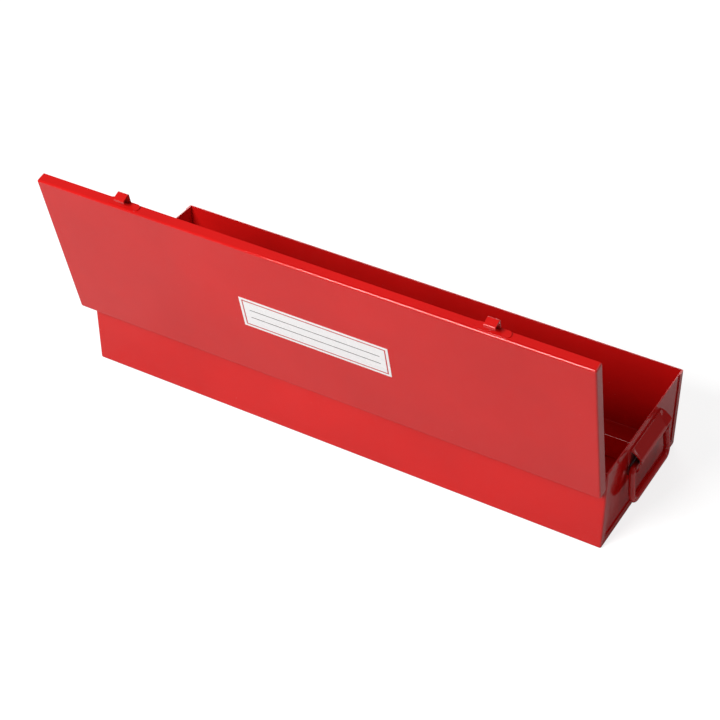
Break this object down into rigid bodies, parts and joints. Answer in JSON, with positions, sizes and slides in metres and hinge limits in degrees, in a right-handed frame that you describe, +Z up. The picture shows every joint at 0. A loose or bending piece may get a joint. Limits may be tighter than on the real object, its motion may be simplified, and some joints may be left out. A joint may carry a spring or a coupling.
{
  "type": "long sheet metal tool case",
  "caption": "Long shallow red sheet-steel tool case with a skirted hinged lid, folding wire handles at its ends and draw latches along the front.",
  "frame": {"origin": "centre of the case's flat underside, without the handles and the open lid", "axes": "+X along the case's length, +Y towards the hinge side, +Z up out of the open case"},
  "size_m": [0.5836, 0.2414, 0.2587],
  "materials": {
    "red_enamel": "smooth gloss red enamel on sheet steel",
    "hinge_wire": "plain drawn steel wire",
    "pin_steel": "plain steel pin",
    "label_paper": "plain white write-on label under a clear film"
  },
  "bodies": {
    "case": {"body_tub": "red_enamel", "floor_divider": "red_enamel", "end_panel_left": "red_enamel", "end_panel_right": "red_enamel", "hinge_leaf_body": "red_enamel", "hinge_pin": "hinge_wire", "handle_bracket_left": "red_enamel", "handle_bracket_right": "red_enamel", "latch_base_left": "red_enamel", "latch_base_right": "red_enamel", "latch_pin_left": "pin_steel", "latch_pin_right": "pin_steel"},
    "lid": {"lid_shell": "red_enamel", "hinge_leaf_lid": "red_enamel", "keeper_left": "red_enamel", "keeper_right": "red_enamel", "contents_label": "label_paper"},
    "handle_left": {"handle_bail_left": "red_enamel"},
    "handle_right": {"handle_bail_right": "red_enamel"},
    "lever_left": {"latch_lever_left": "red_enamel"},
    "lever_right": {"latch_lever_right": "red_enamel"},
    "loop_left": {"latch_loop_left": "red_enamel"},
    "loop_right": {"latch_loop_right": "red_enamel"}
  },
  "joints": [
    {"name": "lid_hinge", "type": "hinge", "parent": "case", "child": "lid", "pos_m": [0, 0.08935, 0.0772], "axis": [1, 0, 0], "range_deg": [0, 103.4]},
    {"name": "handle_left_swing", "type": "hinge", "parent": "case", "child": "handle_left", "pos_m": [-0.2843, 0, 0.061], "axis": [0, 1, 0], "range_deg": [-8, 88]},
    {"name": "handle_right_swing", "type": "hinge", "parent": "case", "child": "handle_right", "pos_m": [0.2843, 0, 0.061], "axis": [0, -1, 0], "range_deg": [-8, 88]},
    {"name": "lever_left_pivot", "type": "hinge", "parent": "case", "child": "lever_left", "pos_m": [-0.1865, -0.0895, 0.062], "axis": [-1, 0, 0], "range_deg": [0, 110]},
    {"name": "lever_right_pivot", "type": "hinge", "parent": "case", "child": "lever_right", "pos_m": [0.1865, -0.0895, 0.062], "axis": [-1, 0, 0], "range_deg": [0, 110]},
    {"name": "loop_left_pivot", "type": "hinge", "parent": "lever_left", "child": "loop_left", "pos_m": [-0.1865, -0.0939, 0.054], "axis": [-1, 0, 0], "range_deg": [-10, 60]},
    {"name": "loop_right_pivot", "type": "hinge", "parent": "lever_right", "child": "loop_right", "pos_m": [0.1865, -0.0939, 0.054], "axis": [-1, 0, 0], "range_deg": [-10, 60]}
  ]
}
